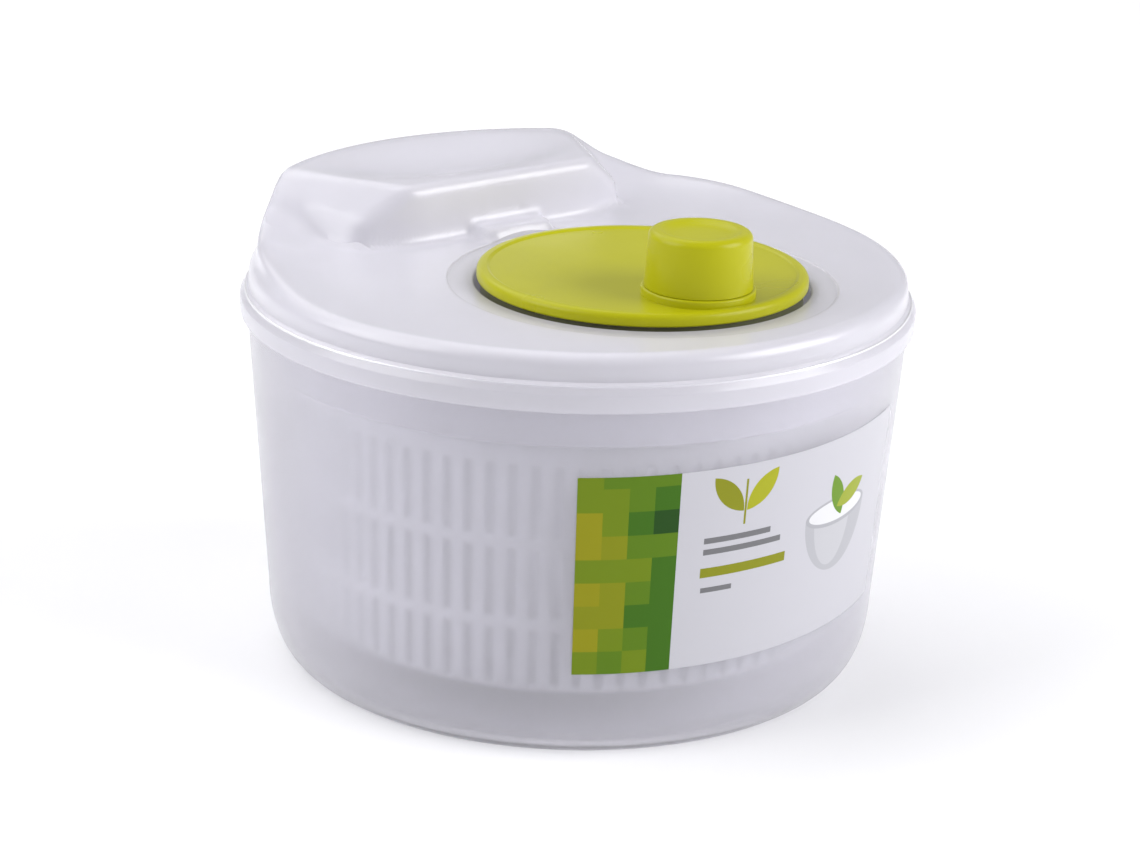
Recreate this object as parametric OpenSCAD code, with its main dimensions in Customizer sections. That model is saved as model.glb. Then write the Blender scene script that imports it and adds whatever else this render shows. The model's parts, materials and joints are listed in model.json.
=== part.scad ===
// Salad spinner: a round bowl, a slotted basket that spins on a pin in the bowl, and a lid
// with a hand grip and a crank that drives the basket through an internal gear.
// Millimetres, +Z up. The origin is on the surface it stands on, under the bowl's axis.
// +Y points from the crank towards the hand grip.

/* [Bowl] */
// Outer radius of the bowl at its rim
bowl_rim_r = 102.3; // [101.8:0.1:102.4]
// Outer radius of the bowl where its rounded bottom corner begins
bowl_low_r = 96; // [94:0.5:98]
// Radius of the flat base ring
bowl_base_r = 87; // [85:0.5:90]
// Height of the bowl's rim
bowl_h = 117; // [116.5:0.1:117]
// Height of the rounded bottom corner
bowl_corner_h = 21; // [16:1:26]
// Wall thickness of the bowl
bowl_wall = 2.2; // [1.8:0.1:2.4]

/* [Basket] */
// Outer radius of the basket below its rim
basket_r = 88.5; // [86:0.5:89]
// Height of the basket's floor above the surface
basket_floor_z = 16; // [15:0.5:17]
// Height of the basket's rim
basket_top_z = 96.5; // [95:0.5:96.5]
// Number of slots around the basket
slot_count = 84; // [42:6:90]
// Width of one slot
slot_w = 2.8; // [2:0.1:3.2]

/* [Lid] */
// Outer radius of the bead around the lid
lid_r = 104; // [103.8:0.1:105]
// Radius of the lid's body above the bead
lid_body_r = 101.2; // [100.8:0.1:101.6]
// Height of the lid's flat top
lid_top_z = 125.2; // [125:0.1:125.6]
// Wall thickness of the lid
lid_wall = 2; // [1.6:0.1:2.2]
// Height of the hand grip's flat top
grip_top_z = 143.8; // [140:0.2:146]
// Distance of the grip's front wall from the bowl's axis
grip_front_y = 37.5; // [36:0.5:42]

/* [Crank] */
// Radius of the crank disc
crank_r = 49.8; // [49:0.1:50.4]
// Height of the crank disc's rim
crank_top_z = 129.2; // [129:0.1:129.6]
// Distance from the crank's axis to the knob's axis
knob_throw = 29.3; // [28:0.1:30]
// Direction of the knob at rest, about the crank's axis
knob_angle = -97; // [-120:1:-60]
// Radius of the knob at its foot
knob_foot_r = 16; // [15:0.1:16.5]
// Radius of the knob under its top edge
knob_top_r = 15; // [13:0.1:15.6]
// Height of the knob's top
knob_top_z = 147.9; // [145:0.1:150]

/* [Gears] */
// Gear module, pitch diameter divided by teeth
gear_module = 1.5; // [1.5:0.5:1.5]
// Teeth of the internal ring gear
ring_teeth = 56; // [56:4:56]
// Teeth of the pinion
pinion_teeth = 16; // [16:4:16]

/* [Hidden] */
$fn = 96;
eps = 0.01;
run_gap = 0.05;        // radial clearance of a running fit
turn_gap = 0.3;        // axial gap between faces that turn past each other

// bowl
floor_top = 3;
foot_recess_r = 80;
foot_recess_h = 0.8;
boss_r = 9;
boss_top = 7;
pin_r = 2.5;
pin_top = 14;
label_t = 0.15;
label_low_z = 28.2;
label_high_z = 91.6;
label_start = -128.7;
label_sweep = 69.3;

// basket and its bearing
cup_hex_r = 7.5;
cup_flange_r = 9.5;
cup_top = 17;
hub_r = 11;
basket_wall = 1.8;
basket_low_r = 86;
basket_corner = 5;
basket_rim_r = 91.5;
basket_rim_t = 2;
tiers = [[19.5, 37], [40.5, 62], [65.5, 87.5]];
floor_slots = 28;
dog_count = 4;
dog_w = 6;
dog_low = basket_top_z - basket_rim_t + 0.2;

// lid
bead_low_z = 109.2;
plug_low_z = 98;
well_r = 51.5;
well_floor_z = 112;
surround_r = 58.5;
surround_z = 124.1;
grip_r = 98.6;
crank_boss_r = 10;
crank_boss_low = 106.2;
crank_boss_top = 117;
drive_boss_r = 10;
drive_boss_low = 104.5;
dish_half = [40, 20];   // half the length and half the width of the finger dish
dish_depth = 4;
dish_y = 67;
pad_w = 27;
pad_z = 129;

// gears
ring_pitch_r = gear_module * ring_teeth / 2;
pinion_pitch_r = gear_module * pinion_teeth / 2;
crank_y = -(ring_pitch_r - pinion_pitch_r);
crank_low_z = 125.3;
gear_low_z = 115;
ring_r = 48.5;
pinion_low_z = 114;
pinion_top_z = 122.5;
stub_r = 6;
stub_low_z = 105.9;
bush_r = 8;
shaft_r = 4;
shaft_flat = 3;
shaft_low_z = 97.6;
drive_bush_r = 6.5;
screw_r = 1.5;
gear_screw_r = 1.2;
gear_screw_ring = 46.2;
pillar_r = 4;
pillar_low_z = 125;
collar_r = 16.8;
collar_top_z = 130.8;
plate_low_z = 97.2;
plate_t = 2.4;

function smooth(t) = let(s = min(max(t, 0), 1)) s * s * (3 - 2 * s);
function arc(cx, cy, rx, ry, a0, a1, n = 8) =
    [for (i = [0:n]) let(a = a0 + (a1 - a0) * i / n) [cx + rx * cos(a), cy + ry * sin(a)]];
// outer radius of the bowl's tapered wall at height z
function bowl_r(z) =
    bowl_low_r + (bowl_rim_r - bowl_low_r) * (z - bowl_corner_h) / (bowl_h - bowl_corner_h);
// outer radius of the basket's tapered wall at height z
function basket_wall_r(z) = let(z0 = basket_floor_z + basket_corner)
    basket_low_r + (basket_r - basket_low_r) * (z - z0) / (basket_top_z - z0);

module ring(r_out, r_in, low, high) {
    translate([0, 0, low])
        difference() {
            cylinder(h = high - low, r = r_out);
            translate([0, 0, -1]) cylinder(h = high - low + 2, r = r_in);
        }
}

module solid_disc(r, low, high) {
    translate([0, 0, low]) cylinder(h = high - low, r = r);
}

module at_crank() { translate([0, crank_y, 0]) children(); }

module at_knob() { at_crank() rotate(knob_angle) translate([knob_throw, 0, 0]) children(); }

// pan-head screw with its head below the shank
module screw(r, head_r, head_h, head_low, top) {
    solid_disc(head_r, head_low, head_low + head_h);
    solid_disc(r, head_low + head_h - eps, top);
}

// ---- gear outlines ----

function inv_deg(base_r, r) = let(a = acos(base_r / r)) tan(a) * 180 / PI - a;
function tooth_half(teeth, pitch_r, r, extra) = let(base_r = pitch_r * cos(20))
    90 / teeth + extra + inv_deg(base_r, pitch_r) - inv_deg(base_r, max(r, base_r + eps));

// involute outline from radius r_in to r_out; extra widens each tooth by that many degrees a side
module gear_outline(teeth, pitch_r, r_in, r_out, extra) {
    radii = [for (i = [0:3]) r_in + (r_out - r_in) * i / 3];
    polygon([for (k = [0:teeth - 1]) each concat(
        [for (r = radii) let(a = k * 360 / teeth - tooth_half(teeth, pitch_r, r, extra))
            [r * cos(a), r * sin(a)]],
        [for (i = [3:-1:0]) let(r = radii[i], a = k * 360 / teeth + tooth_half(teeth, pitch_r, r, extra))
            [r * cos(a), r * sin(a)]])]);
}

// ---- bowl body ----

module bowl() {
    color([0.86, 0.86, 0.9, 0.5]) {
        difference() {
            rotate_extrude() polygon(concat(
                [[0, foot_recess_h], [foot_recess_r, foot_recess_h], [foot_recess_r, 0]],
                arc(bowl_base_r, bowl_corner_h, bowl_low_r - bowl_base_r, bowl_corner_h, -90, 0),
                [[bowl_rim_r, bowl_h], [bowl_rim_r - bowl_wall, bowl_h]],
                arc(bowl_base_r, bowl_corner_h, bowl_low_r - bowl_wall - bowl_base_r,
                    bowl_corner_h - floor_top, 0, -90),
                [[boss_r, floor_top], [boss_r, boss_top], [0, boss_top]]));
            solid_disc(pin_r, floor_top, boss_top + 1);
        }
    }
}

module label_film() {
    color([0.93, 0.95, 0.9])
        rotate([0, 0, label_start])
            rotate_extrude(angle = label_sweep)
                polygon([[bowl_r(label_low_z), label_low_z],
                         [bowl_r(label_low_z) + label_t, label_low_z],
                         [bowl_r(label_high_z) + label_t, label_high_z],
                         [bowl_r(label_high_z), label_high_z]]);
}

module pivot_pin() {
    color("silver") {
        solid_disc(pin_r, floor_top, pin_top - pin_r);
        translate([0, 0, pin_top - pin_r]) sphere(r = pin_r);
    }
}

// ---- bearing that stays on the pin, and the basket it carries ----

module pivot_cup() {
    color("whitesmoke")
        difference() {
            union() {
                solid_disc(cup_flange_r, boss_top + turn_gap, boss_top + turn_gap + 1.2);
                translate([0, 0, boss_top + turn_gap])
                    cylinder(h = cup_top - boss_top - turn_gap, r = cup_hex_r, $fn = 6);
            }
            solid_disc(pin_r + run_gap, boss_top, pin_top + run_gap);
        }
}

module basket() {
    slot_len = 8;
    color([0.95, 0.95, 0.97])
        difference() {
            union() {
                rotate_extrude() polygon(concat(
                    [[0, basket_floor_z]],
                    arc(basket_low_r - basket_corner, basket_floor_z + basket_corner,
                        basket_corner, basket_corner, -90, 0, 4),
                    [[basket_wall_r(basket_top_z - basket_rim_t), basket_top_z - basket_rim_t],
                     [basket_rim_r, basket_top_z - basket_rim_t],
                     [basket_rim_r, basket_top_z],
                     [basket_r - basket_wall, basket_top_z]],
                    arc(basket_low_r - basket_corner, basket_floor_z + basket_corner,
                        basket_corner - basket_wall, basket_corner - basket_wall, 0, -90, 4),
                    [[0, basket_floor_z + basket_wall]]));
                solid_disc(hub_r, boss_top + turn_gap + 1.5, basket_floor_z + 3.2);
            }
            for (i = [0:slot_count - 1])
                for (t = tiers)
                    rotate(i * 360 / slot_count)
                        translate([basket_low_r - slot_len / 2, -slot_w / 2, t[0]])
                            cube([slot_len, slot_w, t[1] - t[0]]);
            for (i = [0:floor_slots - 1])
                rotate(i * 360 / floor_slots)
                    for (span = [[20, 44], [48, 74]])
                        translate([span[0], -slot_w / 2, basket_floor_z - 1])
                            cube([span[1] - span[0], slot_w, basket_wall + 2]);
            for (i = [0:dog_count - 1])
                rotate(45 + i * 360 / dog_count)
                    translate([basket_r, -dog_w / 2 - 0.5, basket_top_z - basket_rim_t - 1])
                        cube([8, dog_w + 1, basket_rim_t + 2]);
            translate([0, 0, boss_top])
                cylinder(h = cup_top + turn_gap - boss_top, r = cup_hex_r + 0.12, $fn = 6);
        }
}

// ---- lid body ----

// height of the lid's outer edge, by the angle away from the grip's middle
function edge_z(d) = lid_top_z + 5.2 * smooth((105 - d) / 45) + 13.4 * smooth((57 - d) / 29);

// rising shoulder that sweeps from the flat top up to the grip, on one side
module grip_shoulder() {
    r_in = 64;
    rows = 6;
    cols = 24;
    low = lid_top_z - 1;
    a0 = 33;
    a1 = 104;
    top = [for (i = [0:cols]) let(d = a0 + (a1 - a0) * i / cols)
               for (j = [0:rows]) let(t = j / rows, r = r_in + (grip_r - r_in) * t)
                   [r * sin(d), r * cos(d), lid_top_z - 0.2 + (edge_z(d) - lid_top_z + 0.2) * pow(t, 1.8)]];
    base = [for (p = top) [p[0], p[1], low]];
    n = len(top);
    w = rows + 1;
    polyhedron(concat(top, base), concat(
        [for (i = [0:cols - 1]) for (j = [0:rows - 1]) let(a = i * w + j) each
            [[a, a + 1, a + w + 1], [a, a + w + 1, a + w],
             [n + a, n + a + w + 1, n + a + 1], [n + a, n + a + w, n + a + w + 1]]],
        [for (i = [0:cols - 1]) let(a = i * w) each
            [[a, a + w, n + a + w], [a, n + a + w, n + a]]],
        [for (i = [0:cols - 1]) let(a = i * w + rows) each
            [[a, n + a, n + a + w], [a, n + a + w, a + w]]],
        [for (j = [0:rows - 1]) each
            [[j, n + j, n + j + 1], [j, n + j + 1, j + 1]]],
        [for (j = [0:rows - 1]) let(a = cols * w + j) each
            [[a, a + 1, n + a + 1], [a, n + a + 1, n + a]]]));
}

// wedge of the hand grip: a flat top with a chamfered edge down each side, made smaller by t
module grip_wedge(t, low) {
    y0 = grip_front_y + t;
    y1 = 110;
    top = grip_top_z - t;
    knee0 = 132.5 - t / 2;
    knee1 = 141 - t / 2;
    section = function(y, knee_z, foot, knee, flat)
        [[-foot, y, low], [-knee, y, knee_z], [-flat, y, top], [flat, y, top], [knee, y, knee_z],
         [foot, y, low]];
    polyhedron(concat(section(y0, knee0, 51 - t, 48.5 - t, 36 - t),
                      section(y1, knee1, 77 - t, 76 - t, 73 - t)),
        [[0, 1, 2, 3, 4, 5], [11, 10, 9, 8, 7, 6], [0, 5, 11, 6], [2, 8, 9, 3],
         [0, 6, 7], [0, 7, 1], [1, 7, 8], [1, 8, 2], [3, 9, 10], [3, 10, 4], [4, 10, 11], [4, 11, 5]]);
}

module grip_solid(t, low) {
    intersection() {
        grip_wedge(t, low);
        solid_disc(grip_r - t, low - 1, grip_top_z + 1);
    }
}

// radius of an arc that is dish_depth deep over a chord of twice half
function dish_arc(half) = (half * half + dish_depth * dish_depth) / (2 * dish_depth);

// oval finger dish in the grip's top, made larger all round by extra
module dish(extra) {
    r = [dish_arc(dish_half[1]), dish_arc(dish_half[0])];
    translate([0, dish_y, grip_top_z - dish_depth])
        intersection() {
            translate([0, 0, r[0]]) rotate([0, 90, 0]) cylinder(h = 120, r = r[0] + extra, center = true);
            translate([0, 0, r[1]]) rotate([90, 0, 0]) cylinder(h = 80, r = r[1] + extra, center = true);
        }
}

module lid_profile() {
    polygon(concat(
        [[bowl_rim_r + 0.35, bead_low_z]],
        arc(lid_r - 1, bead_low_z + 1.2, 1, 1.2, -90, 0, 3),
        arc(lid_r - 1.8, bowl_h - 2.4, 1.8, 1.8, 0, 70, 4),
        [[lid_body_r, bowl_h + 0.8], [lid_body_r - 0.2, lid_top_z - 4]],
        arc(lid_body_r - 4.2, lid_top_z - 4, 4, 4, 0, 90, 6),
        [[0, lid_top_z], [0, lid_top_z - lid_wall]],
        arc(lid_body_r - 4.2, lid_top_z - 4, 4 - lid_wall, 4 - lid_wall, 90, 0, 4),
        [[lid_body_r - 3.4, bowl_h - 1], [96.4, plug_low_z], [98.3, plug_low_z],
         [bowl_rim_r - bowl_wall - 0.4, bowl_h + 0.05], [bowl_rim_r + 0.35, bowl_h + 0.05]]));
}

module lid() {
    color([0.88, 0.88, 0.92, 0.6])
        difference() {
            union() {
                rotate_extrude() lid_profile();
                difference() {
                    union() {
                        grip_shoulder();
                        mirror([1, 0, 0]) grip_shoulder();
                        grip_solid(0, lid_top_z - lid_wall);
                        translate([-pad_w / 2, grip_front_y - 9, lid_top_z - 1])
                            cube([pad_w, 12, pad_z - lid_top_z + 1]);
                    }
                    dish(0);
                }
                at_crank() {
                    solid_disc(well_r + lid_wall, well_floor_z - lid_wall, lid_top_z - 1);
                    solid_disc(crank_boss_r, crank_boss_low, well_floor_z);
                }
                solid_disc(drive_boss_r, drive_boss_low, well_floor_z);
            }
            difference() {
                grip_solid(lid_wall, lid_top_z - lid_wall - 1);
                dish(lid_wall);
            }
            at_crank() {
                difference() {
                    solid_disc(well_r, well_floor_z, lid_top_z + 1);
                    solid_disc(crank_boss_r, well_floor_z - 1, crank_boss_top);
                }
                ring(surround_r, well_r - 1, surround_z, lid_top_z + 8);
                solid_disc(bush_r, crank_boss_low - 1, crank_boss_top + 1);
            }
            solid_disc(drive_bush_r, drive_boss_low - 1, well_floor_z + 1);
        }
}

module crank_bush() {
    color("whitesmoke") at_crank() ring(bush_r, stub_r + run_gap, crank_boss_low, crank_boss_top);
}

module drive_bush() {
    color("whitesmoke") {
        ring(drive_bush_r, shaft_r + run_gap, drive_boss_low, well_floor_z);
        ring(9, shaft_r + run_gap, well_floor_z, well_floor_z + 1);
    }
}

// ---- crank body ----

module crank_disc() {
    rim_w = 2.4;
    web_top = crank_top_z - 0.5;
    color([0.74, 0.75, 0.1])
        difference() {
            union() {
                at_crank() {
                    rotate_extrude() polygon(concat(
                        [[0, crank_low_z], [crank_r - 0.8, crank_low_z]],
                        arc(crank_r - 1.6, crank_top_z - 1.6, 1.6, 1.6, 0, 90, 6),
                        [[crank_r - rim_w, crank_top_z - 0.1], [crank_r - rim_w - 0.6, web_top],
                         [0, web_top]]));
                    solid_disc(stub_r, stub_low_z, crank_low_z + 1);
                    ring(crank_boss_r, stub_r - 1, crank_boss_top + turn_gap, crank_low_z + 1);
                }
                at_knob() {
                    ring(collar_r, collar_r - 4, web_top - 1, collar_top_z);
                    ring(7, pillar_r, web_top - 1, 137);
                }
            }
            at_crank() {
                solid_disc(screw_r, stub_low_z - 1, 121);
                for (i = [0:2])
                    rotate(30 + i * 120) translate([gear_screw_ring, 0, 0])
                        solid_disc(gear_screw_r, crank_low_z - 1, 127.6);
            }
            at_knob() solid_disc(pillar_r + run_gap, crank_low_z - 1, 138);
        }
}

module ring_gear() {
    color([0.9, 0.88, 0.8])
        at_crank()
            difference() {
                solid_disc(ring_r, gear_low_z, crank_low_z);
                translate([0, 0, gear_low_z - 1])
                    linear_extrude(height = crank_low_z - gear_low_z + 2)
                        gear_outline(ring_teeth, ring_pitch_r, ring_pitch_r - 1.35, ring_pitch_r + 1.8, 0.2);
                for (i = [0:2])
                    rotate(30 + i * 120) translate([gear_screw_ring, 0, 0])
                        solid_disc(gear_screw_r, gear_low_z - 1, crank_low_z + 1);
            }
}

module gear_screws() {
    color("silver")
        at_crank()
            for (i = [0:2])
                rotate(30 + i * 120) translate([gear_screw_ring, 0, 0])
                    screw(gear_screw_r, 2.1, 1.4, gear_low_z - 1.4, 127);
}

module crank_washer() {
    color("silver") at_crank() ring(9.5, screw_r + 0.3, stub_low_z - 1.2, stub_low_z);
}

module crank_screw() {
    color("silver") at_crank() screw(screw_r, 4, 2, stub_low_z - 3.2, 120);
}

// ---- knob body ----

module knob() {
    foot_z = collar_top_z + turn_gap;
    edge = 2;
    color([0.78, 0.8, 0.1])
        at_knob() {
            difference() {
                rotate_extrude() polygon(concat(
                    [[0, foot_z], [knob_foot_r, foot_z]],
                    arc(knob_top_r - edge, knob_top_z - edge, edge, edge, 0, 90, 6),
                    arc(0, knob_top_z - 1.4 + 70, 70, 70, -90 + 10, -90, 5)));
                ring(knob_top_r - 2.2, pillar_r, foot_z - 1, 143.6);
                solid_disc(screw_r, pillar_low_z - 1, 138);
            }
            ring(pillar_r, screw_r, pillar_low_z, foot_z + 1);
        }
}

module knob_washer() {
    color("silver") at_knob() ring(6, screw_r + 0.3, pillar_low_z - 0.8, pillar_low_z);
}

module knob_screw() {
    color("silver") at_knob() screw(screw_r, 3, 1.1, pillar_low_z - 1.9, 137);
}

// ---- drive body ----

// D-shaped section of the drive shaft
module shaft_section() {
    intersection() {
        circle(r = shaft_r);
        translate([-2 * shaft_r, -2 * shaft_r]) square([2 * shaft_r + shaft_flat, 4 * shaft_r]);
    }
}

module pinion() {
    color([0.93, 0.93, 0.9])
        translate([0, 0, pinion_low_z])
            linear_extrude(height = pinion_top_z - pinion_low_z)
                difference() {
                    gear_outline(pinion_teeth, pinion_pitch_r, pinion_pitch_r - 1.9,
                                 pinion_pitch_r + 1.3, -0.7);
                    shaft_section();
                }
}

module thrust_washer() {
    color("silver") ring(8, shaft_r + run_gap, well_floor_z + 1 + turn_gap, pinion_low_z);
}

module drive_shaft() {
    color("silver")
        difference() {
            translate([0, 0, shaft_low_z])
                linear_extrude(height = pinion_top_z - shaft_low_z) shaft_section();
            solid_disc(screw_r, shaft_low_z - 1, 110);
        }
}

module drive_plate() {
    plate_high_z = plate_low_z + plate_t;
    color([0.92, 0.92, 0.95])
        difference() {
            union() {
                ring(basket_rim_r - 0.2, 78, plate_low_z, plate_high_z);
                solid_disc(14, plate_low_z, plate_high_z);
                solid_disc(9, plate_low_z, drive_boss_low - turn_gap - 0.1);
                for (i = [0:dog_count - 1])
                    rotate(45 + i * 360 / dog_count) {
                        translate([8, -6, plate_low_z]) cube([74, 12, plate_t]);
                        translate([basket_r + 0.4, -dog_w / 2, dog_low])
                            cube([basket_rim_r - basket_r - 1, dog_w, plate_low_z - dog_low + 1]);
                    }
            }
            translate([0, 0, plate_low_z - 1]) linear_extrude(height = 10) shaft_section();
        }
}

module drive_washer() {
    color("silver") ring(7, screw_r + 0.2, plate_low_z - 1, plate_low_z);
}

module drive_screw() {
    color("silver") screw(screw_r, 4, 2, plate_low_z - 3, 109);
}

bowl();
label_film();
pivot_pin();
pivot_cup();
basket();
lid();
crank_bush();
drive_bush();
crank_disc();
ring_gear();
gear_screws();
crank_washer();
crank_screw();
knob();
knob_washer();
knob_screw();
pinion();
thrust_washer();
drive_shaft();
drive_plate();
drive_washer();
drive_screw();
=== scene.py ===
"""Looks of the salad spinner: frosted bowl and lid, slotted basket, printed film, green crank and knob.

Lengths in outlines are millimetres, in the part's own frame: +Z up, +Y from the crank to the hand grip.
"""
import json
import math

import bpy
import numpy as np
from bpy.props import FloatProperty, FloatVectorProperty, IntProperty, PointerProperty
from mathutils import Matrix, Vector


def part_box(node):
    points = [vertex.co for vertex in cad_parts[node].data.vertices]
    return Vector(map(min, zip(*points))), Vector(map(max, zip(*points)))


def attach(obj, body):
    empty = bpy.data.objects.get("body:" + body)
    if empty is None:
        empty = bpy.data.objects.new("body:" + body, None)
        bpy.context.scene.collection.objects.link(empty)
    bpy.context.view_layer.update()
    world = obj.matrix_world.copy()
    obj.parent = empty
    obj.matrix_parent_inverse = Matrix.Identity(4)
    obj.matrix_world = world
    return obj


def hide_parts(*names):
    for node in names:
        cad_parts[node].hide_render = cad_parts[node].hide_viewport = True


bl_info = {
    "name": "Salad spinner",
    "version": (1, 0, 0),
    "blender": (4, 5, 0),
    "location": "View3D > Sidebar > Spinner",
    "description": "Models the visible pieces of a crank-driven salad spinner",
    "category": "Add Mesh",
}

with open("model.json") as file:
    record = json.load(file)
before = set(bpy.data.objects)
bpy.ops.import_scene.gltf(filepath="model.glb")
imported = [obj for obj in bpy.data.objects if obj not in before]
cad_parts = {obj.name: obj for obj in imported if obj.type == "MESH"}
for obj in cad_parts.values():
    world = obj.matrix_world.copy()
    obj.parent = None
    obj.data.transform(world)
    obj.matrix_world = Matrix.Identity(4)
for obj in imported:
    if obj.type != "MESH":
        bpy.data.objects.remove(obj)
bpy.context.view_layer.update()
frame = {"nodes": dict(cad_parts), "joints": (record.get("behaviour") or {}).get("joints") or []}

MM = 0.001
STEPS = 192           # segments round a turned piece
LID_COLS = 344        # columns round the lid's formed shell
MERGE = 2e-6          # points closer than this are one point, in metres
PREFIX = "spinner."   # starts the name of every operator


def size_of(node):
    """Radius and top of a node that is centred on the bowl's axis, in millimetres."""
    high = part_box(node)[1]
    return high.x / MM, high.z / MM


def joint_place(name):
    """Where a hinge of the frame turns, in millimetres."""
    found = [joint for joint in frame["joints"] if joint["name"] == name][0]
    return [value / MM for value in found["pos_m"]]


BOWL_R, BOWL_TOP = size_of("bowl")
LID_R = size_of("lid")[0]
CRANK_Y = joint_place("crank_spin")[1]
KNOB_X, KNOB_Y, _ = joint_place("knob_spin")


# ---- sizes and colours that a user would change ----

class BowlSizes(bpy.types.PropertyGroup):
    wall: FloatProperty(name="Wall", description="Wall thickness of the bowl, mm", default=2.2, min=1.8,
                        max=2.4)
    base_r: FloatProperty(name="Base radius", description="Radius of the flat base ring, mm", default=87.0)
    corner_r: FloatProperty(name="Corner radius", description="Radius above the bottom corner, mm",
                            default=96.0)
    corner_h: FloatProperty(name="Corner height", description="Height of the bottom corner, mm",
                            default=21.0)


class BasketSizes(bpy.types.PropertyGroup):
    slots: IntProperty(name="Slots", description="Slots around the wall", default=84, min=42, max=90)
    floor_slots: IntProperty(name="Floor slots", description="Slots around the floor", default=28)
    wall: FloatProperty(name="Wall", description="Wall thickness of the basket, mm", default=1.8)


class LidSizes(bpy.types.PropertyGroup):
    wall: FloatProperty(name="Wall", description="Wall thickness of the lid, mm", default=2.0)
    top: FloatProperty(name="Flat top", description="Height of the flat top, mm", default=125.2)
    grip_top: FloatProperty(name="Grip top", description="Height of the hand grip, mm", default=143.8)
    grip_front: FloatProperty(name="Grip front", description="Distance of the grip's front wall, mm",
                              default=37.5)


class Finishes(bpy.types.PropertyGroup):
    green: FloatVectorProperty(name="Green", description="Colour of the crank and the knob", subtype="COLOR",
                               default=(0.415, 0.41, 0.004), min=0, max=1)
    frosted: FloatVectorProperty(name="Frosted", description="Tint of the bowl and the lid", subtype="COLOR",
                                 default=(0.78, 0.77, 0.82), min=0, max=1)
    white: FloatVectorProperty(name="White", description="Colour of the basket", subtype="COLOR",
                               default=(0.74, 0.74, 0.785), min=0, max=1)


# ---- outlines ----

def rounded(corners, closed=True, segments=6):
    """Outline through (x, y, fillet) corners, each fillet a true arc."""
    points = []
    count = len(corners)
    for i, (x, y, fillet) in enumerate(corners):
        here = Vector((x, y))
        if not fillet or (not closed and i in (0, count - 1)):
            points.append(here)
            continue
        back = (Vector(corners[i - 1][:2]) - here).normalized()
        ahead = (Vector(corners[(i + 1) % count][:2]) - here).normalized()
        half = back.angle(ahead) / 2
        middle = here + (back + ahead).normalized() * fillet / math.sin(half)
        start = here + back * fillet / math.tan(half) - middle
        end = here + ahead * fillet / math.tan(half) - middle
        sweep = math.pi - 2 * half
        for k in range(segments + 1):
            t = k / segments
            points.append(middle + (start * math.sin((1 - t) * sweep) + end * math.sin(t * sweep))
                          / math.sin(sweep))
    return [(p.x, p.y) for p in points]


def arc(cx, cy, rx, ry, first, last, segments):
    """Points of an elliptical arc, without fillets."""
    return [(cx + rx * math.cos(math.radians(first + (last - first) * i / segments)),
             cy + ry * math.sin(math.radians(first + (last - first) * i / segments)), 0)
            for i in range(segments + 1)]


# ---- modelling steps ----

def select_none():
    """Goes to object mode and deselects everything."""
    if bpy.context.mode != "OBJECT":
        bpy.ops.object.mode_set(mode="OBJECT")
    bpy.ops.object.select_all(action="DESELECT")


def only(piece):
    """Selects one object and nothing else."""
    select_none()
    piece.select_set(True)
    bpy.context.view_layer.objects.active = piece


def fresh(adder, name, **options):
    """Adds an object with nothing else selected, and names it."""
    select_none()
    adder(**options)
    bpy.context.object.name = name
    return bpy.context.object


def close_mesh(piece):
    """Merges what meets, drops loose bits and turns the faces outwards."""
    only(piece)
    bpy.ops.object.mode_set(mode="EDIT")
    bpy.ops.mesh.select_all(action="SELECT")
    bpy.ops.mesh.remove_doubles(threshold=MERGE)
    bpy.ops.mesh.delete_loose()
    bpy.ops.mesh.select_all(action="SELECT")
    bpy.ops.mesh.normals_make_consistent(inside=False)
    bpy.ops.object.mode_set(mode="OBJECT")


def turned(name, outline, centre=(0.0, 0.0), steps=STEPS):
    """A closed outline of (radius, height) points, spun once round a vertical axis."""
    piece = fresh(bpy.ops.mesh.primitive_circle_add, name, vertices=len(outline), radius=MM)
    for vertex, (radius, height) in zip(piece.data.vertices, outline):
        vertex.co = (radius * MM, 0, height * MM)
    bpy.ops.object.mode_set(mode="EDIT")
    bpy.ops.mesh.select_all(action="SELECT")
    bpy.ops.mesh.spin(steps=steps, angle=2 * math.pi, center=(0, 0, 0), axis=(0, 0, 1))
    bpy.ops.mesh.select_all(action="SELECT")
    bpy.ops.transform.translate(value=(centre[0] * MM, centre[1] * MM, 0))
    bpy.ops.object.mode_set(mode="OBJECT")
    close_mesh(piece)
    return piece


def drop(piece, kind, test):
    """Deletes the edges or faces that pass a test."""
    only(piece)
    bpy.ops.object.mode_set(mode="EDIT")
    bpy.ops.mesh.select_mode(type=kind)
    bpy.ops.mesh.select_all(action="DESELECT")
    bpy.ops.object.mode_set(mode="OBJECT")
    for item in piece.data.edges if kind == "EDGE" else piece.data.polygons:
        item.select = bool(test(item))
    bpy.ops.object.mode_set(mode="EDIT")
    bpy.ops.mesh.delete(type=kind)
    bpy.ops.mesh.select_mode(type="VERT")
    bpy.ops.object.mode_set(mode="OBJECT")


def modifier(piece, kind, **settings):
    """Adds a modifier, sets it and applies it."""
    only(piece)
    added = piece.modifiers.new(kind.title(), kind)
    for key, value in settings.items():
        setattr(added, key, value)
    bpy.ops.object.modifier_apply(modifier=added.name)


def combine(piece, tool, operation):
    """Boolean of two pieces; the tool is used up."""
    modifier(piece, "BOOLEAN", object=tool, operation=operation, solver="EXACT")
    bpy.data.objects.remove(tool)


def finish(piece, body, slot, material, *nodes, angle=30):
    """Smooths and paints a finished piece, hangs it on the body it rides on and hides the CAD parts that it
    stands for.
    """
    only(piece)
    bpy.ops.object.shade_smooth_by_angle(angle=math.radians(angle))
    piece.data.materials.clear()
    piece.data.materials.append(material)
    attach(piece, body)
    if nodes:
        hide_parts(*nodes)
    return piece


# ---- materials ----

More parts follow.
